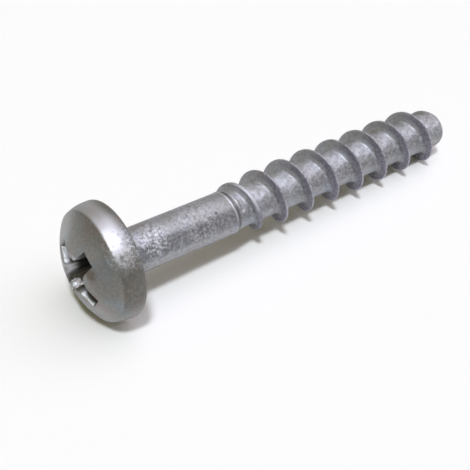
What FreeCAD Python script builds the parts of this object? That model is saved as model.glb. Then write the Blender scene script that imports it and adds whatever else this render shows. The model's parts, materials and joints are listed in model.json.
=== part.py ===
import FreeCAD, Part
import math
import os

os.makedirs("parts", exist_ok=True)

# Distances along the screw are counted from the bearing face under the head, plus towards the tip.
# Turning angles are counted from the side that is uppermost at rest, clockwise seen from the head.

# Pan head
head_diameter = 7.94
head_height = 3.02
crown_radius = 5.95
crown_edge_inset = 0.25
crown_edge_rounding = 0.3
wall_height = 0.55
rim_radius = 0.28
underhead_cone = 0.2
head_offset = 0.1

# Cross recess
recess_span = 4.5
recess_depth = 2.25
recess_turn = 32.0
wing_end_slope = 26.5
wing_width_mouth = 1.15
wing_width_floor = 0.8
core_diameter_mouth = 2.3
core_diameter_floor = 1.7
core_point_depth = 0.4
mouth_clearance = 0.4

# Plain shank and the rolled neck after it
shank_diameter = 3.1
shank_length = 8.75
shank_end_chamfer = 0.12
neck_diameter = 2.86
neck_length = 1.0

# Coarse right-hand thread
thread_diameter = 4.22
root_diameter = 2.73
pitch = 2.35
first_crest = 9.65
crest_width = 0.15
crest_rounding = 0.05
flank_angle = 18.5
run_in_start_turn = -0.55
run_in_turns = 0.5
low_crest_diameter = 3.74
low_crest_width = 0.26
low_crest_shift = 0.24
low_until_turn = 0.2
full_from_turn = 1.2
run_out_turns = 0.62
thread_turns = 8.0
sink_under_root = 0.25
start_under_root = 0.065

# Blunt tip
length_under_head = 28.8
tip_diameter = 2.1
tip_rounding_length = 0.55

# Fineness of the curves that the ridge is drawn through
points_per_turn = 12

head_radius = head_diameter / 2
shank_radius = shank_diameter / 2
neck_radius = neck_diameter / 2
root_radius = root_diameter / 2
crest_radius = thread_diameter / 2
low_crest_radius = low_crest_diameter / 2
tip_radius = tip_diameter / 2


def at(along, out, turn_degrees=0.0):
    turn = math.radians(turn_degrees)
    return FreeCAD.Vector(along, -out * math.sin(turn), out * math.cos(turn))


def arc(start, through, end):
    return Part.Arc(start, through, end).toShape()


def crown_height(out):
    return -head_height + crown_radius - math.sqrt(crown_radius ** 2 - out ** 2)


def turned(outline):
    return Part.Face(Part.Wire(outline)).revolve(FreeCAD.Vector(0, 0, 0), FreeCAD.Vector(1, 0, 0), 360)


def rounded(blank, along, radius):
    circles = [edge for edge in blank.Edges
               if edge.BoundBox.XLength < 0.01 and abs(edge.BoundBox.Center.x - along) < 0.01]
    return blank.makeFillet(radius, circles)


# The head is turned by itself, because its rim sits slightly off the line of the shank.
# Its side wall stands straight above the rim and then curves in to the edge of the crown.
def head():
    edge_out = head_radius - crown_edge_inset
    edge_along = crown_height(edge_out)
    curve_height = -wall_height - edge_along
    wall_radius = (curve_height ** 2 + crown_edge_inset ** 2) / (2 * crown_edge_inset)
    middle_along = -wall_height - curve_height / 2
    middle_out = head_radius - wall_radius + math.sqrt(wall_radius ** 2 - (curve_height / 2) ** 2)
    apex = at(-head_height, 0)
    crown_edge = at(edge_along, edge_out)
    wall_top = at(-wall_height, head_radius)
    corner = at(0, head_radius)
    seat_centre = at(0, 0)
    blank = turned([
        arc(apex, at(crown_height(edge_out / 2), edge_out / 2), crown_edge),
        arc(crown_edge, at(middle_along, middle_out), wall_top),
        Part.makeLine(wall_top, corner),
        Part.makeLine(corner, seat_centre),
        Part.makeLine(seat_centre, apex),
    ])
    blank = rounded(blank, edge_along, crown_edge_rounding)
    blank = rounded(blank, 0, rim_radius)
    blank.translate(at(0, head_offset))
    return blank


# Shank with its cone under the head, neck, root and blunt tip
def shank():
    diagonal = math.sqrt(0.5)
    neck_start = shank_length + shank_end_chamfer
    tip_start = length_under_head - tip_rounding_length
    tip_middle = at(length_under_head - tip_rounding_length * (1 - diagonal),
                    tip_radius + (root_radius - tip_radius) * diagonal)
    corners = [
        at(-underhead_cone, 0),
        at(-underhead_cone, shank_radius + underhead_cone),
        at(0, shank_radius + underhead_cone),
        at(underhead_cone, shank_radius),
        at(shank_length, shank_radius),
        at(neck_start, neck_radius),
        at(neck_start + neck_length, root_radius),
        at(tip_start, root_radius),
    ]
    tip_edge = at(length_under_head, tip_radius)
    end_centre = at(length_under_head, 0)
    return turned(Part.makePolygon(corners).Edges + [
        arc(corners[-1], tip_middle, tip_edge),
        Part.makeLine(tip_edge, end_centre),
        Part.makeLine(end_centre, corners[0]),
    ])


# The first crest is lower, broader and nearer the tip than the helix of the others
def fullness(turns):
    share = min(1.0, max(0.0, (turns - low_until_turn) / (full_from_turn - low_until_turn)))
    return share ** 2 * (3 - 2 * share)


# Height of the thread: it rises out of the neck and fades out at the tip
def ridge_radius(turns):
    rise = min(1.0, (turns - run_in_start_turn) / run_in_turns)
    fall = max(0.0, (turns - thread_turns + run_out_turns) / run_out_turns)
    start = root_radius - start_under_root
    top = low_crest_radius + (crest_radius - low_crest_radius) * fullness(turns)
    return start + (top - start) * (1 - (1 - rise) ** 2) * (1 - fall ** 2)


def ridge_centre(turns):
    return first_crest + pitch * turns + low_crest_shift * (1 - fullness(turns))


# Cross section of the ridge at one place, from its buried foot over the crest to the other foot
def ridge_section(turns):
    top = ridge_radius(turns)
    foot = root_radius - sink_under_root
    slope = math.tan(math.radians(flank_angle))
    width = low_crest_width + (crest_width - low_crest_width) * fullness(turns)
    half_flat = width / 4
    half_crest = width / 2
    half_foot = half_crest + (top - crest_rounding - foot) * slope
    offsets = [(-half_foot, foot), (-half_crest, top - crest_rounding), (-half_flat, top),
               (half_flat, top), (half_crest, top - crest_rounding), (half_foot, foot)]
    return [at(ridge_centre(turns) + along, out, 360 * turns) for along, out in offsets]


# The thread as a closed helical ridge, built turn by turn
def helical_ridge():
    first = run_in_start_turn
    span = thread_turns - first
    pieces = math.ceil(span)
    faces = []
    for piece in range(pieces):
        start = first + span * piece / pieces
        stop = first + span * (piece + 1) / pieces
        steps = [start + (stop - start) * step / points_per_turn for step in range(points_per_turn + 1)]
        sections = [ridge_section(turns) for turns in steps]
        rails = []
        for corner in range(len(sections[0])):
            rail = Part.BSplineCurve()
            rail.interpolate(Points=[section[corner] for section in sections],
                             Parameters=[turns - start for turns in steps])
            rails.append(rail.toShape())
        for corner in range(len(rails)):
            faces.append(Part.makeRuledSurface(rails[corner - 1], rails[corner]))
    for turns in (first, thread_turns):
        corners = ridge_section(turns)
        faces.append(Part.Face(Part.makePolygon(corners + corners[:1])))
    shell = Part.makeCompound(faces)
    shell.sewShape()
    return Part.Solid(shell.Shells[0])


# Cross recess: two crossed tapering wings, a round core and a pointed floor
def cross_recess():
    mouth = crown_height(recess_span / 2)
    outside = -head_height - mouth_clearance
    floor = -head_height + recess_depth
    end_slope = math.tan(math.radians(wing_end_slope))
    half_outside = recess_span / 2 + (mouth - outside) * end_slope
    half_floor = recess_span / 2 - (floor - mouth) * end_slope
    width_slope = (wing_width_mouth - wing_width_floor) / recess_depth
    width_outside = wing_width_mouth + mouth_clearance * width_slope
    core_slope = (core_diameter_mouth - core_diameter_floor) / 2 / recess_depth
    core_outside = core_diameter_mouth / 2 + mouth_clearance * core_slope

    def section(along, half_span, width):
        corners = [FreeCAD.Vector(along, side * width / 2, end * half_span)
                   for side, end in ((-1, -1), (1, -1), (1, 1), (-1, 1))]
        return Part.makePolygon(corners + corners[:1])

    wing = Part.makeLoft([section(outside, half_outside, width_outside),
                          section(floor, half_floor, wing_width_floor)], True, True)
    core = Part.makeCone(core_outside, core_diameter_floor / 2, floor - outside,
                         FreeCAD.Vector(outside, 0, 0), FreeCAD.Vector(1, 0, 0))
    point = Part.makeCone(core_diameter_floor / 2, 0, core_point_depth,
                          FreeCAD.Vector(floor, 0, 0), FreeCAD.Vector(1, 0, 0))
    other_wing = wing.copy()
    other_wing.rotate(FreeCAD.Vector(0, 0, 0), FreeCAD.Vector(1, 0, 0), 90)
    cutter = wing.fuse([other_wing, core, point])
    cutter.rotate(FreeCAD.Vector(0, 0, 0), FreeCAD.Vector(1, 0, 0), recess_turn)
    return cutter


# At rest the head rim and the lowest crest near the tip touch the ground
def rest_tilt():
    pivot_along = -rim_radius
    pivot_out = head_radius - rim_radius - head_offset
    tilts = []
    for turn in range(math.floor(thread_turns)):
        turns = turn + 0.5
        along = ridge_centre(turns) - pivot_along
        drop = pivot_out - ridge_radius(turns)
        tilts.append(math.atan2(drop, along) + math.asin(rim_radius / math.hypot(along, drop)))
    return math.degrees(min(tilts))


screw = head().fuse([shank(), helical_ridge()]).cut(cross_recess())
screw.rotate(FreeCAD.Vector(0, 0, 0), FreeCAD.Vector(0, 1, 0), rest_tilt())
box = screw.optimalBoundingBox(False)
screw.translate(FreeCAD.Vector(-box.Center.x, -box.Center.y, -box.ZMin))
screw.Solids[0].exportStep("parts/self_tapping_screw.step")
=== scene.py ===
import bmesh
import bpy
import json
import math
from mathutils import Matrix, Vector


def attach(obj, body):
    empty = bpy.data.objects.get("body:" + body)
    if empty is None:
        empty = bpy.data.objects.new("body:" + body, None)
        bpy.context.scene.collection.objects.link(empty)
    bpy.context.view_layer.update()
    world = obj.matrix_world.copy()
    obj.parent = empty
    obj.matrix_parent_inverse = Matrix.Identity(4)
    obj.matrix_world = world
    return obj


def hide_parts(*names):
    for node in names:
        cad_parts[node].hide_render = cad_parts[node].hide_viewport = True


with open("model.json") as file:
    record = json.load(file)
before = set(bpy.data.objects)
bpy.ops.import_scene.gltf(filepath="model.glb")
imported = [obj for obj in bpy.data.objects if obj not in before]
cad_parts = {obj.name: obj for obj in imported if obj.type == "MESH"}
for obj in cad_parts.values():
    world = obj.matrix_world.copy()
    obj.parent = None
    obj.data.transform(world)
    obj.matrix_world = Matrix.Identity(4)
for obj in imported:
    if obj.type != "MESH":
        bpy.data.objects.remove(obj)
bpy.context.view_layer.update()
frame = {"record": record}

mm = 0.001  # everything below is in millimetres until it becomes a vertex


# Colours are written as they look on screen, and the shader takes them linear
def hexColour(text):
    channels = [int(text[place:place + 2], 16) / 255 for place in (1, 3, 5)]
    linear = [c / 12.92 if c <= 0.04045 else ((c + 0.055) / 1.055) ** 2.4 for c in channels]
    return (*linear, 1.0)


def addNode(tree, kind, settings=None, links=None):
    node = tree.nodes.new(kind)
    for name, value in (settings or {}).items():
        if isinstance(name, int) or name in node.inputs:
            node.inputs[name].default_value = value
        else:
            setattr(node, name, value)
    for name, socket in (links or {}).items():
        tree.links.new(socket, node.inputs[name])
    return node


def smoothStep(value, low, high):
    share = min(1.0, max(0.0, (value - low) / (high - low)))
    return share * share * (3 - 2 * share)


def softMax(first, second, reach):
    overlap = max(reach - abs(first - second), 0.0)
    return max(first, second) + overlap * overlap / (4 * reach)


def spread(first, last, steps):
    return [first + (last - first) * step / steps for step in range(steps + 1)]


# The screw, in millimetres and degrees
# Places along it are counted from the seat under its head, plus towards the tip, and turns clockwise
# seen from the head, from the side that lies uppermost.
screw = {
    "columns": 200,
    "headRadius": 3.968, "headHeight": 3.02, "headOffset": 0.1,
    "crownRadius": 5.95, "crownEdgeInset": 0.25, "crownEdgeRounding": 0.3,
    "wallHeight": 0.55, "rimRadius": 0.28, "seatRadius": 1.75, "seatCone": 0.2,
    "gridRadius": 3.2, "crownRings": 5,
    "recessSpan": 4.5, "recessDepth": 2.25, "recessTurn": 32.0, "recessEndSlope": 26.5,
    "wingWidth": 1.15, "wingFloorWidth": 0.8, "coreRadius": 1.15, "coreFloorRadius": 0.85,
    "corePoint": 0.4, "pointFade": (0.3, 0.05), "mouthRounding": 0.06, "floorRounding": 0.12,
    "shankRadius": 1.55, "shankLength": 8.75, "shankChamfer": 0.12,
    "shankEndLean": 0.12, "shankEndLeanTurn": 133.0, "shankBurr": 0.025, "shankBurrLength": 0.14,
    "neckRadius": 1.43, "neckLength": 1.0, "rootRadius": 1.365, "rootFillet": 0.2,
    "crestRadius": 2.11, "crestHalfWidth": 0.06, "crestRounding": 0.09, "flankAngle": 18.5,
    "pitch": 2.35, "firstCrest": 9.65, "lowCrestRadius": 1.87, "lowCrestHalfWidth": 0.115,
    "lowCrestShift": 0.24, "lowCrestTurns": (0.2, 1.2),
    "runInStart": -0.55, "runInTurns": 0.5, "startUnderRoot": 0.065, "runOutTurns": 0.62, "threadTurns": 8.0,
    "neckFill": 0.09, "neckFillTurn": 20.0, "neckFillSides": (-0.5, 0.6), "neckFillStart": (0.16, 0.3),
    "neckLineSpacing": 0.15, "neckLineDepth": 0.045,
    "length": 28.8, "tipRadius": 1.05, "tipRounding": 0.55, "threadEnd": 28.45,
}


def crownAlong(distance):
    return -screw["headHeight"] + screw["crownRadius"] - math.sqrt(screw["crownRadius"] ** 2 - distance ** 2)


# The first crest is lower, broader and nearer the tip than the helix of the others
def fullness(turns):
    return smoothStep(turns, *screw["lowCrestTurns"])


def ridgeTop(turns):
    rise = min(1.0, (turns - screw["runInStart"]) / screw["runInTurns"])
    fall = max(0.0, (turns - screw["threadTurns"] + screw["runOutTurns"]) / screw["runOutTurns"])
    start = screw["rootRadius"] - screw["startUnderRoot"]
    top = screw["lowCrestRadius"] + (screw["crestRadius"] - screw["lowCrestRadius"]) * fullness(turns)
    return start + (top - start) * (1 - (1 - rise) ** 2) * (1 - fall ** 2)


def crestShift(turns):
    return screw["lowCrestShift"] * (1 - fullness(turns))


# Height of the nearest turn of the thread at a place on the screw
def ridgeRadius(along, turn):
    steepness = 1 / math.tan(math.radians(screw["flankAngle"]))
    nearest = math.floor((along - screw["firstCrest"]) / screw["pitch"] - turn / 360)
    best = 0.0
    for whole in (nearest - 1, nearest, nearest + 1):
        turns = turn / 360 + whole
        if screw["runInStart"] <= turns <= screw["threadTurns"]:
            halfWidth = screw["lowCrestHalfWidth"]
            halfWidth += (screw["crestHalfWidth"] - halfWidth) * fullness(turns)
            away = abs(along - screw["firstCrest"] - screw["pitch"] * turns - crestShift(turns))
            drop = softMax(0.0, (away - halfWidth) * steepness, screw["crestRounding"])
            best = max(best, ridgeTop(turns) - drop)
    return best


# The shank ends in a plane that leans a little
def shankEnd(turn):
    lean = math.cos(math.radians(turn - screw["shankEndLeanTurn"]))
    return screw["shankLength"] + screw["shankEndLean"] * lean


# Shank with the burr at its end, neck, root and rounded tip
def coreRadius(along, turn):
    pastShank = along - shankEnd(turn)
    if pastShank < 0:
        return screw["shankRadius"] + screw["shankBurr"] * smoothStep(pastShank, -screw["shankBurrLength"], 0)
    if pastShank < screw["shankChamfer"]:
        share = pastShank / screw["shankChamfer"]
        edge = screw["shankRadius"] + screw["shankBurr"]
        return edge + (screw["neckRadius"] - edge) * share
    share = min(1.0, (pastShank - screw["shankChamfer"]) / screw["neckLength"])
    radius = screw["neckRadius"] + (screw["rootRadius"] - screw["neckRadius"]) * share
    # between the shank and the first crest the rolling has left the valley partly filled, with fine lines
    side = math.cos(math.radians(turn - screw["neckFillTurn"]))
    filled = smoothStep(side, *screw["neckFillSides"]) * smoothStep(pastShank, *screw["neckFillStart"])
    wave = 0.5 - 0.5 * math.cos(2 * math.pi * pastShank / screw["neckLineSpacing"])
    radius += filled * (screw["neckFill"] * (1 - share) - screw["neckLineDepth"] * wave)
    pastRoot = (along - screw["length"] + screw["tipRounding"]) / screw["tipRounding"]
    if pastRoot > 0:
        bulge = math.sqrt(max(0.0, 1 - pastRoot ** 2))
        radius = screw["tipRadius"] + (screw["rootRadius"] - screw["tipRadius"]) * bulge
    return radius


def bodyRadius(along, turn):
    return softMax(coreRadius(along, turn), ridgeRadius(along, turn), screw["rootFillet"])


# Outline of the head from the crown to the seat, as along and distance from the head's own axis
def headOutline():
    edgeOut = screw["headRadius"] - screw["crownEdgeInset"]
    edgeAlong = crownAlong(edgeOut)
    curveHeight = -screw["wallHeight"] - edgeAlong
    inset = screw["crownEdgeInset"]
    wallRadius = (curveHeight ** 2 + inset ** 2) / (2 * inset)
    crownCentre = Vector((screw["crownRadius"] - screw["headHeight"], 0.0))
    wallCentre = Vector((-screw["wallHeight"], screw["headRadius"] - wallRadius))
    rounding = screw["crownEdgeRounding"]
    fromCrown = screw["crownRadius"] - rounding
    fromWall = wallRadius - rounding
    between = wallCentre - crownCentre
    apart = between.length
    bend = math.acos((fromCrown ** 2 + apart ** 2 - fromWall ** 2) / (2 * fromCrown * apart))
    direction = math.atan2(between.y, -between.x) + bend
    roundCentre = crownCentre + fromCrown * Vector((-math.cos(direction), math.sin(direction)))
    wallDirection = (roundCentre - wallCentre).normalized()
    wallTurn = math.atan2(wallDirection.y, -wallDirection.x)
    crownEndOut = screw["crownRadius"] * math.sin(direction)
    roundSteps, wallSteps, rimSteps, seatSteps = 6, 7, 6, 8
    crownOuts = spread(screw["gridRadius"], crownEndOut, screw["crownRings"])
    outline = [(crownAlong(out), out) for out in crownOuts]

    def addArc(centre, radius, angles):
        for angle in angles:
            outline.append((centre.x - radius * math.cos(angle), centre.y + radius * math.sin(angle)))

    addArc(roundCentre, rounding, spread(direction, wallTurn, roundSteps)[1:])
    addArc(wallCentre, wallRadius, spread(wallTurn, math.pi / 2, wallSteps)[1:])
    rim = screw["rimRadius"]
    for angle in spread(0, math.pi / 2, rimSteps):
        outline.append((-rim + rim * math.sin(angle), screw["headRadius"] - rim + rim * math.cos(angle)))
    outline += [(0.0, out) for out in spread(screw["headRadius"] - rim, screw["seatRadius"], seatSteps)[1:]]
    return outline


# Depth of the cross recess below the crown, at a place given along its two wings
def recessDrop(u, v, surface):
    rounding = screw["mouthRounding"]
    sideSlope = (screw["wingWidth"] - screw["wingFloorWidth"]) / 2 / screw["recessDepth"]
    endSlope = math.tan(math.radians(screw["recessEndSlope"]))
    coreSlope = (screw["coreRadius"] - screw["coreFloorRadius"]) / screw["recessDepth"]
    below = surface + screw["headHeight"]
    floor = screw["recessDepth"] - below
    endHere = screw["recessSpan"] / 2 - (surface - crownAlong(screw["recessSpan"] / 2)) * endSlope

    # a rounded mouth and then a wall of one slope
    def drop(inside, slope):
        if inside < -rounding:
            return 0.0
        if inside < 0:
            return rounding - math.sqrt(rounding ** 2 - (inside + rounding) ** 2)
        return rounding + inside / slope

    wings = []
    for across, length in ((abs(v), abs(u)), (abs(u), abs(v))):
        side = drop(screw["wingWidth"] / 2 - below * sideSlope - across, sideSlope)
        end = drop(endHere - length, endSlope)
        wings.append(min(side, end))
    fromCentre = math.hypot(u, v)
    core = drop(screw["coreRadius"] - below * coreSlope - fromCentre, coreSlope)
    deep = max(wings[0], wings[1], core)
    deep = -softMax(-deep, -floor, screw["floorRounding"])
    point = screw["corePoint"] * max(0.0, 1 - fromCentre / screw["coreFloorRadius"])
    fadeFrom, fadeUntil = screw["pointFade"]
    return max(0.0, deep + point * smoothStep(deep, floor - fadeFrom, floor - fadeUntil))


vertices = []
faces = []


def addVertex(along, across, up):
    vertices.append((along, across, up))
    return len(vertices) - 1


def addRound(along, out, turn, lift=0.0):
    angle = math.radians(turn)
    return addVertex(along, -out * math.sin(angle), out * math.cos(angle) + lift)


def joinRings(first, second):
    count = len(first)
    for column in range(count):
        after = (column + 1) % count
        addFace(first[column], first[after], second[after], second[column])


def addFace(*corners):
    kept = [corner for place, corner in enumerate(corners) if corner != corners[place - 1]]
    if len(set(kept)) == len(kept) and len(kept) > 2:
        faces.append(kept)


def columnTurn(column):
    return screw["recessTurn"] + 360 * column / screw["columns"]


# Crown with the recess: a square grid in line with the wings, drawn out to a circle at its border
def crownGrid():
    lines = [0.13, 0.26, 0.36, 0.41, 0.45, 0.48, 0.51, 0.54, 0.565, 0.59, 0.62, 0.66, 0.76,
             0.95, 1.15, 1.36, 1.57, 1.78, 1.95, 2.07, 2.16, 2.23, 2.3, 2.6, 3.2]
    lines = [-line for line in reversed(lines)] + [0.0] + lines
    radius = screw["gridRadius"]
    grid = []
    for lineU in lines:
        row = []
        for lineV in lines:
            u, v = lineU / radius, lineV / radius
            low, high = sorted((abs(u), abs(v)))
            # the lines stay straight along the wings and bend into a circle at the border
            roundness = max(smoothStep(low, 0.21, 0.5), smoothStep(high, 0.75, 1.0))
            x = lineU * math.sqrt(1 - roundness * v * v / 2)
            y = lineV * math.sqrt(1 - roundness * u * u / 2)
            turn = math.radians(screw["recessTurn"])
            across = -x * math.sin(turn) - y * math.cos(turn)
            up = x * math.cos(turn) - y * math.sin(turn)
            surface = crownAlong(math.hypot(across, up - screw["headOffset"]))
            row.append(addVertex(surface + recessDrop(x, y, surface), across, up))
        grid.append(row)
    last = len(lines) - 1
    for a in range(last):
        for b in range(last):
            addFace(grid[a][b], grid[a + 1][b], grid[a + 1][b + 1], grid[a][b + 1])
    middle = last // 2
    border = [grid[last][b] for b in range(middle, last)] + [grid[a][last] for a in range(last, 0, -1)]
    border += [grid[0][b] for b in range(last, 0, -1)] + [grid[a][0] for a in range(last)]
    return border + [grid[last][b] for b in range(middle)]


# From the grid's border over the crown's edge, the wall and the rim to the seat. The spacing of the
# grid's border evens out, and the rings move over to the head's own axis and back again on the seat.
def headRings(border):
    outline = headOutline()
    rings = screw["crownRings"]
    headAxisFrom, shankAxisUntil = 3.6, 3.69
    borderTurns = []
    for index in border:
        x, y, z = vertices[index]
        turn = math.degrees(math.atan2(-y, z)) % 360
        while borderTurns and turn < borderTurns[-1]:
            turn += 360
        borderTurns.append(turn)
    if borderTurns[0] > columnTurn(0) + 180:
        borderTurns = [turn - 360 for turn in borderTurns]
    before = border
    onSeat = False
    for number, (along, out) in enumerate(outline[1:], 1):
        even = smoothStep(number, 0, rings + 1)
        onSeat = onSeat or along >= 0
        if onSeat:
            offset = screw["headOffset"] * smoothStep(out, screw["seatRadius"], shankAxisUntil)
        else:
            offset = screw["headOffset"] * smoothStep(out, screw["gridRadius"], headAxisFrom)
        ring = []
        for column in range(screw["columns"]):
            turn = borderTurns[column] * (1 - even) + columnTurn(column) * even
            if number <= rings:
                angle = math.radians(turn)
                up = out * math.cos(angle) + offset - screw["headOffset"]
                along = crownAlong(math.hypot(out * math.sin(angle), up))
            ring.append(addRound(along, out, turn, offset))
        joinRings(before, ring)
        before = ring
    return before


def levelRing(along):
    turns = [columnTurn(column) for column in range(screw["columns"])]
    return [addRound(along, bodyRadius(along, turn), turn) for turn in turns]


# Level rings along the shank, then rings that lean with its end and run on through the lines of the neck
def shankRings(before):
    level = [screw["seatCone"], 0.24, 0.3, 0.45] + spread(0.7, 8.2, 30)
    leaning = [-0.3, -0.2, -0.12, -0.07] + spread(-0.03, 0.48, 17)
    for along in level:
        ring = levelRing(along)
        joinRings(before, ring)
        before = ring
    for past in leaning:
        ring = []
        for column in range(screw["columns"]):
            along = shankEnd(columnTurn(column)) + past
            ring.append(addRound(along, bodyRadius(along, columnTurn(column)), columnTurn(column)))
        joinRings(before, ring)
        before = ring
    return before


# Thread: rows that follow the helix, closest together at the crest, cut off at a ring at each end
def threadRows(startRing):
    half = [0.03, 0.055, 0.08, 0.13, 0.19, 0.25, 0.3, 0.35, 0.42, 0.52, 0.66, 0.83, 1.0]
    rows = [-offset for offset in reversed(half)] + [0.0] + half + [screw["pitch"] / 2]
    columns = screw["columns"]
    leastGap = 0.03
    shiftFade = 0.58
    endRing = levelRing(screw["threadEnd"])
    startAlong = [vertices[index][0] for index in startRing]
    known = {}

    def corner(column, row):
        if column == columns:
            column = 0
            row += len(rows)
        turn = columnTurn(column)
        whole, part = divmod(row, len(rows))
        turns = turn / 360 + whole
        along = screw["firstCrest"] + screw["pitch"] * turns + rows[part]
        # rows near the crest move with its shift, and the row halfway to the next turn stays
        along += crestShift(turns) * min(1.0, max(0.0, (half[-1] - abs(rows[part])) / shiftFade))
        if along < startAlong[column] + leastGap:
            return startRing[column]
        if along > screw["threadEnd"] - leastGap:
            return endRing[column]
        if (column, row) not in known:
            known[column, row] = addRound(along, bodyRadius(along, turn), turn)
        return known[column, row]

    firstTurn, lastTurn = -3, 10  # more than the thread has; faces past the two rings shrink to nothing
    for row in range(firstTurn * len(rows), lastTurn * len(rows)):
        for column in range(columns):
            addFace(corner(column, row), corner(column + 1, row),
                    corner(column + 1, row + 1), corner(column, row + 1))
    return endRing


# Rounded tip and its flat end
def tipRings(before):
    for share in spread(0, 1, 9)[1:]:
        along = screw["threadEnd"] + (screw["length"] - screw["threadEnd"]) * math.sin(share * math.pi / 2)
        ring = levelRing(along)
        joinRings(before, ring)
        before = ring
    for out in (1.0, 0.7, 0.35):
        ring = [addRound(screw["length"], out, columnTurn(column)) for column in range(screw["columns"])]
        joinRings(before, ring)
        before = ring
    centre = addVertex(screw["length"], 0, 0)
    for column in range(screw["columns"]):
        addFace(before[column], before[(column + 1) % screw["columns"]], centre)


tipRings(threadRows(shankRings(headRings(crownGrid()))))

# the bearing face of the solid says where the seat is and how far the screw tilts at rest
seat = next(mount for mount in frame["record"]["mounts"] if mount["name"] == "bearing_face")
seatCentre = (seat["pos_m"][0], 0.0, seat["pos_m"][2])
tilt = math.asin(-seat["axis"][2])
atRest = Matrix.Translation(seatCentre) @ Matrix.Rotation(tilt, 4, "Y") @ Matrix.Scale(mm, 4)
mesh = bpy.data.meshes.new("screwMesh")
mesh.from_pydata([atRest @ Vector(vertex) for vertex in vertices], [], faces)
shell = bmesh.new()
shell.from_mesh(mesh)
bmesh.ops.recalc_face_normals(shell, faces=shell.faces)
openEdges = sum(1 for edge in shell.edges if len(edge.link_faces) != 2)
shell.to_mesh(mesh)
shell.free()
for polygon in mesh.polygons:
    polygon.use_smooth = True
screwPiece = bpy.data.objects.new("screw", mesh)
bpy.context.scene.collection.objects.link(screwPiece)
print("screw mesh:", len(vertices), "vertices,", len(faces), "faces,", openEdges, "open edges")


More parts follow.
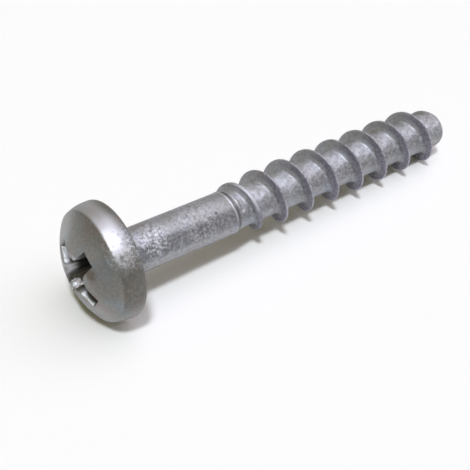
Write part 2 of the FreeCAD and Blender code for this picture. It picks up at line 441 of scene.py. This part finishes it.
# Its finish
# Steel with a baked zinc-flake coating: a matt grey of fine overlapping flakes, which scatters the
# light widely, sparkles in bright grains where it was rubbed, is pocked with dark pores and is
# faintly warm and cool in patches. The real flakes, pores and grains are a few hundredths of a
# millimetre wide and too fine to show, so they are drawn about 0.2 mm wide.
zincFlakeLook = {
    "shankTints": ("#9a9899", "#a0a1a5", "#9fa3ad"), "shankMetallic": 0.62, "shankRoughness": (0.42, 0.66),
    "headTints": ("#8b8380", "#888885", "#82888b"), "headMetallic": 0.75, "headRoughness": (0.42, 0.54),
    # painted shade on the flanks; bright flakes that also paint highlights; dark pores that also paint shade
    "flankShade": "#7d7a87", "flakeAndHighlight": "#d9dce6", "poreAndShade": "#605e62",
    # painted shade in the recess, on the head and along the shank, and a dark brown spot on the crown
    "recessShade": "#33342d", "darkSpotColour": "#5f5347", "headShade": "#62605a", "shankShade": "#69696f",
    # painted highlights and glints, and one bright scratch
    "highlightAndScratch": "#dcdde6",
    # width of each pattern and height of the grain, in millimetres
    "patchSize": 1.6, "streakSize": 0.5, "flakeSize": 0.2, "poreSize": 0.2, "grainSize": 0.18,
    "bumpHeight": 0.012,
    # values of each noise where its pattern starts and is full, and for some the strength at both
    "patchStops": (0.36, 0.5, 0.64), "flakeLimits": (0.43, 0.65), "poreLimits": (0.45, 0.34),
    "streakLimits": (0.35, 0.6, 0.6, 1.0), "wearAndSheenGrain": (0.4, 0.62, 0.1, 0.55),
    "rootHighlightPatches": (0.35, 0.6, 0.25, 0.6), "roughGrain": (0.3, 0.7),
    # loose flakes on the shank and on the head, flakes on the lit side of the roots, pores in the rubbed and
    # lit places and elsewhere
    "looseFlakes": (0.2, 0.07), "rootFlakes": 0.3, "rubbedAndLitPores": 0.6, "loosePores": 0.9,
    # place along the screw, turn and distance from the axis of each mark, its reach and its strength
    # bright flakes gather at these spots; the last one, in the recess, is a painted glint
    "rubbedAndGlintSpots": [(2.35, 36.0, 1.55, 1.5, 0.95), (5.9, 24.0, 1.55, 2.2, 0.35),
                    (-0.8, 42.0, 3.97, 1.7, 0.62), (-2.27, 212.0, 2.1, 0.8, 0.9)],
    # a painted highlight on the upper side wall
    "wallHighlight": (-1.1, 12.0, 3.95, 3.7, 0.76),
    # painted shade on the lower side wall and on the crown
    "wallShade": (-1.1, 80.0, 3.9, 2.5, 0.8), "crownShade": (-2.3, 70.0, 3.0, 2.0, 0.5),
    # painted highlights on the crown
    "crownHighlights": [(-2.2, -50.0, 3.2, 1.9, 0.26), (-2.2, 150.0, 3.2, 2.4, 0.22)],
    "pits": [(7.29, 38.0, 1.55, 0.15, 0.9), (-1.23, 48.0, 3.94, 0.2, 0.6)],
    # a dark brown spot on the crown beside the recess
    "darkCrownSpot": (-2.7, 57.0, 1.98, 0.62, 0.75),
    # a bright scratch on the neck, then painted glints in and beside the recess
    "scratchAndGlints": [(9.41, 60.0, 1.5, 0.22, 1.0), (-2.7, 150.0, 1.15, 0.45, 0.3),
                  (-2.5, 257.0, 1.1, 0.68, 0.62), (-2.1, 295.0, 1.6, 0.8, 0.9)],
    # turn that each band faces, how far out towards it the band starts and is full, and its strength
    # the bands below paint shade on the shank and roots, and highlights on the shank, the roots, the first
    # crest and the shank's end edge
    "shankShadeBand": (67.0, 1.33, 1.53, 0.84), "highlightBand": (14.0, 1.3, 1.54, 0.14),
    "rootHighlightBand": (24.0, 0.75, 1.32, 0.85), "rootShadeBand": (68.0, 1.17, 1.35, 0.48),
    "lowCrestHighlight": (22.0, 0.9, 1.8, 0.8), "edgeHighlightBand": (22.0, 0.5, 1.5, 0.7),
    # where each zone starts and is full along the screw, and for some the strength at both
    "headZone": (0.1, -0.1), "wallZone": (-1.68, -1.56), "highlightTop": (-1.72, -1.52),
    "highlightFoot": (-0.96, -0.24, 1.0, 0.0), "threadZone": (9.2, 9.5), "lowCrestZone": (10.7, 10.4),
    "recessMouth": (-2.8, -2.2), "recessFloor": (-0.4, -0.2, 0.9, 0.0),
    # the same out from its axis, sideways and upwards
    "flankReach": (1.55, 1.8), "crestReach": (2.02, 2.1), "lowCrestReach": (1.74, 1.84),
    "plainReach": (1.6, 1.7, 1.0, 0.0), "rootReach": (1.52, 1.42), "recessReach": (1.6, 1.0),
    # painted shade falls on the flanks towards the first side and on the shank's underside
    "flankShadeSide": (0.4, -0.9, 0.25, 1.0), "undersideShade": (-0.7, -0.88, 0.0, 0.7),
    # plane of the leaning shank end, and along it the start, end and strength of two stripes
    # a painted highlight along the shank's end edge and painted shade in the groove after it
    "shankEndPlane": (1.0, 0.0566, 0.0528), "edgeHighlight": (8.64, 8.77, 0.9), "grooveShade": (8.83, 9.0, 0.8),
    "stripeFade": (0.03, 0.04),
}


def zincFlakeMaterial():
    look = zincFlakeLook
    material = bpy.data.materials.new("zincFlakeCoatedSteel")
    material.use_nodes = True
    tree = material.node_tree
    tree.nodes.clear()
    place = addNode(tree, "ShaderNodeTexCoord").outputs["Object"]
    # millimetres along and across the screw, counted from the seat under its head
    fromSeat = addNode(tree, "ShaderNodeMapping",
                       {"vector_type": "TEXTURE", "Location": seatCentre, "Rotation": (0.0, tilt, 0.0),
                        "Scale": (mm, mm, mm)}, {"Vector": place}).outputs["Vector"]
    axes = addNode(tree, "ShaderNodeSeparateXYZ", {}, {"Vector": fromSeat})
    across = addNode(tree, "ShaderNodeVectorMath", {"operation": "MULTIPLY", 1: (0.0, 1.0, 1.0)},
                     {0: fromSeat}).outputs["Vector"]
    out = addNode(tree, "ShaderNodeVectorMath", {"operation": "LENGTH"}, {0: across}).outputs["Value"]

    def noise(size, detail):
        return addNode(tree, "ShaderNodeTexNoise", {"Scale": 1 / size, "Detail": detail, "Roughness": 0.65},
                       {"Vector": fromSeat}).outputs["Fac"]

    def ramp(value, low, high, first=0.0, last=1.0):
        return addNode(tree, "ShaderNodeMapRange",
                       {"interpolation_type": "SMOOTHSTEP", "From Min": low, "From Max": high,
                        "To Min": first, "To Max": last}, {"Value": value}).outputs["Result"]

    def calculate(operation, first, second):
        node = addNode(tree, "ShaderNodeMath", {"operation": operation})
        for number, value in enumerate((first, second)):
            if isinstance(value, float):
                node.inputs[number].default_value = value
            else:
                tree.links.new(value, node.inputs[number])
        return node.outputs["Value"]

    def spot(along, turn, distance, reach, strength):
        angle = math.radians(turn)
        centre = (along, -distance * math.sin(angle), distance * math.cos(angle))
        apart = addNode(tree, "ShaderNodeVectorMath", {"operation": "DISTANCE", 1: centre}, {0: fromSeat})
        return ramp(apart.outputs["Value"], reach * 0.35, reach, strength, 0.0)

    def reachAlong(direction):
        return addNode(tree, "ShaderNodeVectorMath", {"operation": "DOT_PRODUCT", 1: direction},
                       {0: fromSeat}).outputs["Value"]

    def band(turn, low, high, strength):
        angle = math.radians(turn)
        return ramp(reachAlong((0.0, -math.sin(angle), math.cos(angle))), low, high, 0.0, strength)

    def mix(share, under, over):
        node = addNode(tree, "ShaderNodeMix", {"data_type": "RGBA", 7: hexColour(over)}, {0: share, 6: under})
        return node.outputs[2]

    def patchy(tints):
        node = addNode(tree, "ShaderNodeValToRGB", {}, {"Fac": patches})
        stops = node.color_ramp.elements
        stops[0].position, middle, stops[1].position = look["patchStops"]
        stops[0].color = hexColour(tints[0])
        stops[1].color = hexColour(tints[2])
        stops.new(middle).color = hexColour(tints[1])
        return node.outputs["Color"]

    # the head was pressed in a smooth die, so it is darker and glossier than the rolled part
    onHead = ramp(axes.outputs["X"], *look["headZone"])
    patches = noise(look["patchSize"], 3.0)
    grain = noise(look["grainSize"], 3.0)
    tint = addNode(tree, "ShaderNodeMix", {"data_type": "RGBA"},
                   {0: onHead, 6: patchy(look["shankTints"]), 7: patchy(look["headTints"])}).outputs[2]
    # painted shade darkens the lower side wall up to the sharp edge of the crown, and the crown in one place
    pastEdge = ramp(axes.outputs["X"], *look["wallZone"])
    tint = mix(calculate("MULTIPLY", pastEdge, spot(*look["wallShade"])), tint, look["headShade"])
    tint = mix(spot(*look["crownShade"]), tint, look["headShade"])
    # painted highlights lighten the crown in two places
    for mark in look["crownHighlights"]:
        tint = mix(spot(*mark), tint, look["flakeAndHighlight"])
    # a painted highlight brightens the upper side wall between the crown's edge and the rim
    onWall = calculate("MULTIPLY", ramp(axes.outputs["X"], *look["highlightTop"]),
                       ramp(axes.outputs["X"], *look["highlightFoot"]))
    tint = mix(calculate("MULTIPLY", onWall, spot(*look["wallHighlight"])), tint, look["highlightAndScratch"])
    # painted shade darkens the flanks of the thread, mostly on the side that faces down, and the crests are
    # worn bright and painted with a highlight
    onThread = ramp(axes.outputs["X"], *look["threadZone"])
    shadedFlank = calculate("MULTIPLY", ramp(out, *look["flankReach"]),
                          ramp(axes.outputs["Y"], *look["flankShadeSide"]))
    tint = mix(calculate("MULTIPLY", shadedFlank, onThread), tint, look["flankShade"])
    crestWearAndSheen = calculate("MULTIPLY", ramp(out, *look["crestReach"]), ramp(grain, *look["wearAndSheenGrain"]))
    tint = mix(calculate("MULTIPLY", crestWearAndSheen, onThread), tint, look["flakeAndHighlight"])
    # the first crest is lower than the others, worn over its whole width and painted with a highlight on the
    # side towards the light
    lowCrest = calculate("MULTIPLY", ramp(out, *look["lowCrestReach"]),
                         ramp(axes.outputs["X"], *look["lowCrestZone"]))
    lowCrest = calculate("MULTIPLY", lowCrest, band(*look["lowCrestHighlight"]))
    tint = mix(calculate("MULTIPLY", lowCrest, onThread), tint, look["flakeAndHighlight"])

    # painted shade darkens the plain shank along one side and along its underside, and a painted highlight
    # brightens it near the top
    onShank = calculate("SUBTRACT", 1.0, onHead)
    streaks = ramp(noise(look["streakSize"], 3.0), *look["streakLimits"])
    onPlain = calculate("MULTIPLY", onShank, ramp(out, *look["plainReach"]))
    shadeMask = calculate("MULTIPLY", band(*look["shankShadeBand"]), streaks)
    tint = mix(calculate("MULTIPLY", shadeMask, onPlain), tint, look["shankShade"])
    tint = mix(calculate("MULTIPLY", band(*look["highlightBand"]), onPlain), tint, look["flakeAndHighlight"])
    shadedUnderside = ramp(axes.outputs["Z"], *look["undersideShade"])
    tint = mix(calculate("MULTIPLY", shadedUnderside, onPlain), tint, look["poreAndShade"])

    # a painted highlight brightens the roots between the crests where they lie uppermost, and painted shade
    # darkens them along the same side as the shank
    onRoots = calculate("MULTIPLY", ramp(out, *look["rootReach"]), band(*look["rootHighlightBand"]))
    bright = calculate("MULTIPLY", onRoots, ramp(patches, *look["rootHighlightPatches"]))
    tint = mix(bright, tint, look["flakeAndHighlight"])
    shadeMask = calculate("MULTIPLY", ramp(out, *look["rootReach"]), band(*look["rootShadeBand"]))
    tint = mix(calculate("MULTIPLY", shadeMask, streaks), tint, look["shankShade"])

    # bright flakes and dark pores, many where the coating was rubbed, on the lit side of the roots and at a
    # painted glint in the recess, and few elsewhere
    rubbedAndLit = calculate("MULTIPLY", onRoots, look["rootFlakes"])
    for mark in look["rubbedAndGlintSpots"]:
        rubbedAndLit = calculate("MAXIMUM", rubbedAndLit, spot(*mark))
    flakes = ramp(noise(look["flakeSize"], 4.0), *look["flakeLimits"])
    loose = ramp(onHead, 0.0, 1.0, *look["looseFlakes"])
    flakes = calculate("MULTIPLY", flakes, calculate("ADD", rubbedAndLit, loose))
    colour = mix(flakes, tint, look["flakeAndHighlight"])
    pores = ramp(noise(look["poreSize"], 4.0), *look["poreLimits"])
    porosity = calculate("ADD", calculate("MULTIPLY", rubbedAndLit, look["rubbedAndLitPores"]),
                         calculate("MULTIPLY", loose, look["loosePores"]))
    pores = calculate("MULTIPLY", pores, porosity)
    for mark in look["pits"]:
        pores = calculate("MAXIMUM", pores, spot(*mark))
    colour = mix(pores, colour, look["poreAndShade"])

    # painted shade darkens the middle of the recess, the crown has one dark brown spot, and there is one
    # bright scratch on the neck and painted glints in and beside the recess
    inRecess = calculate("MULTIPLY", ramp(axes.outputs["X"], *look["recessMouth"]),
                         ramp(out, *look["recessReach"]))
    inRecess = calculate("MULTIPLY", inRecess, ramp(axes.outputs["X"], *look["recessFloor"]))
    colour = mix(inRecess, colour, look["recessShade"])
    colour = mix(spot(*look["darkCrownSpot"]), colour, look["darkSpotColour"])
    for mark in look["scratchAndGlints"]:
        colour = mix(spot(*mark), colour, look["highlightAndScratch"])

    # a painted highlight lies along the edge at the end of the shank, and painted shade in the groove after
    # it
    fromEnd = reachAlong(look["shankEndPlane"])
    fadeIn, fadeOut = look["stripeFade"]

    def stripe(start, end, strength):
        return calculate("MULTIPLY", ramp(fromEnd, start - fadeIn, start),
                         ramp(fromEnd, end, end + fadeOut, strength, 0.0))

    edge = calculate("MULTIPLY", stripe(*look["edgeHighlight"]), band(*look["edgeHighlightBand"]))
    colour = mix(calculate("MULTIPLY", edge, streaks), colour, look["flakeAndHighlight"])
    colour = mix(stripe(*look["grooveShade"]), colour, look["poreAndShade"])

    headRough = ramp(grain, *look["roughGrain"], *look["headRoughness"])
    shankRough = ramp(grain, *look["roughGrain"], *look["shankRoughness"])
    roughness = calculate("ADD", calculate("MULTIPLY", headRough, onHead),
                          calculate("MULTIPLY", shankRough, onShank))
    metallic = ramp(onHead, 0.0, 1.0, look["shankMetallic"], look["headMetallic"])
    bump = addNode(tree, "ShaderNodeBump", {"Strength": 1.0, "Distance": look["bumpHeight"] * mm},
                   {"Height": grain})
    shader = addNode(tree, "ShaderNodeBsdfPrincipled", {},
                     {"Base Color": colour, "Metallic": metallic, "Roughness": roughness,
                      "Normal": bump.outputs["Normal"]})
    addNode(tree, "ShaderNodeOutputMaterial", {}, {"Surface": shader.outputs["BSDF"]})
    return material


screwPiece.data.materials.append(zincFlakeMaterial())
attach(screwPiece, "root")
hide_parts("self_tapping_screw")
print("screw finished")


# Floor, lights and camera, in millimetres and degrees; each light is given by the way towards it
studio = {
    "floorColour": "#fcfdfd", "floorRoughness": 0.9, "floorSize": 6000.0,
    "lampTowards": (-0.25, -0.33, 1.0), "lampStrength": 1.77, "lampWidth": 8.0, "lampColour": "#f5faff",
    "softboxTowards": (0.42, -0.22, 1.0), "softboxStrength": 1.4, "softboxWidth": 74.0,
    "softboxColour": "#f1edff",
    "fillColour": "#776f4e", "horizonColour": "#ffffff", "horizonHeight": (2.5, 7.0),
    "cameraAt": (-36.834518, -44.163920, 47.772396), "cameraAim": (-4.796304, -1.986760, 3.0),
    "lens": 79.974, "sensorWidth": 36.0, "nearest": 1.0, "farthest": 20000.0,
}


def buildStudio():
    half = studio["floorSize"] / 2 * mm
    floorMesh = bpy.data.meshes.new("floorMesh")
    corners = [(-half, -half, 0), (half, -half, 0), (half, half, 0), (-half, half, 0)]
    floorMesh.from_pydata(corners, [], [(0, 1, 2, 3)])
    floor = bpy.data.objects.new("floor", floorMesh)
    bpy.context.scene.collection.objects.link(floor)
    # matt white paper shows the eye no reflection of the screw, only its soft shadow
    paper = bpy.data.materials.new("mattWhitePaper")
    paper.use_nodes = True
    surface = paper.node_tree.nodes["Principled BSDF"]
    surface.inputs["Base Color"].default_value = hexColour(studio["floorColour"])
    surface.inputs["Roughness"].default_value = studio["floorRoughness"]
    floorMesh.materials.append(paper)

    for name in ("lamp", "softbox"):
        lightData = bpy.data.lights.new(name, "SUN")
        lightData.energy = studio[name + "Strength"]
        lightData.angle = math.radians(studio[name + "Width"])
        lightData.color = hexColour(studio[name + "Colour"])[:3]
        light = bpy.data.objects.new(name, lightData)
        light.rotation_euler = Vector(studio[name + "Towards"]).to_track_quat("Z", "Y").to_euler()
        bpy.context.scene.collection.objects.link(light)

    # a dim warm fill from above, and a white horizon that low views see behind the floor
    world = bpy.data.worlds.new("studioWorld")
    world.use_nodes = True
    tree = world.node_tree
    tree.nodes.clear()
    direction = addNode(tree, "ShaderNodeTexCoord").outputs["Generated"]
    height = addNode(tree, "ShaderNodeSeparateXYZ", {}, {"Vector": direction}).outputs["Z"]
    low, high = [math.sin(math.radians(angle)) for angle in studio["horizonHeight"]]
    overhead = addNode(tree, "ShaderNodeMapRange",
                       {"interpolation_type": "SMOOTHSTEP", "From Min": low, "From Max": high},
                       {"Value": height})
    colour = addNode(tree, "ShaderNodeMix",
                     {"data_type": "RGBA", 6: hexColour(studio["horizonColour"]),
                      7: hexColour(studio["fillColour"])},
                     {0: overhead.outputs["Result"]})
    background = addNode(tree, "ShaderNodeBackground", {}, {"Color": colour.outputs[2]})
    addNode(tree, "ShaderNodeOutputWorld", {}, {"Surface": background.outputs["Background"]})
    bpy.context.scene.world = world

    cameraData = bpy.data.cameras.new("camera")
    cameraData.lens = studio["lens"]
    cameraData.sensor_width = studio["sensorWidth"]
    cameraData.clip_start = studio["nearest"] * mm
    cameraData.clip_end = studio["farthest"] * mm
    camera = bpy.data.objects.new("camera", cameraData)
    camera.location = Vector(studio["cameraAt"]) * mm
    aim = Vector(studio["cameraAim"]) - Vector(studio["cameraAt"])
    camera.rotation_euler = aim.to_track_quat("-Z", "Y").to_euler()
    bpy.context.scene.collection.objects.link(camera)
    bpy.context.scene.camera = camera
    bpy.context.scene.view_settings.view_transform = "Standard"


buildStudio()
print("studio built")
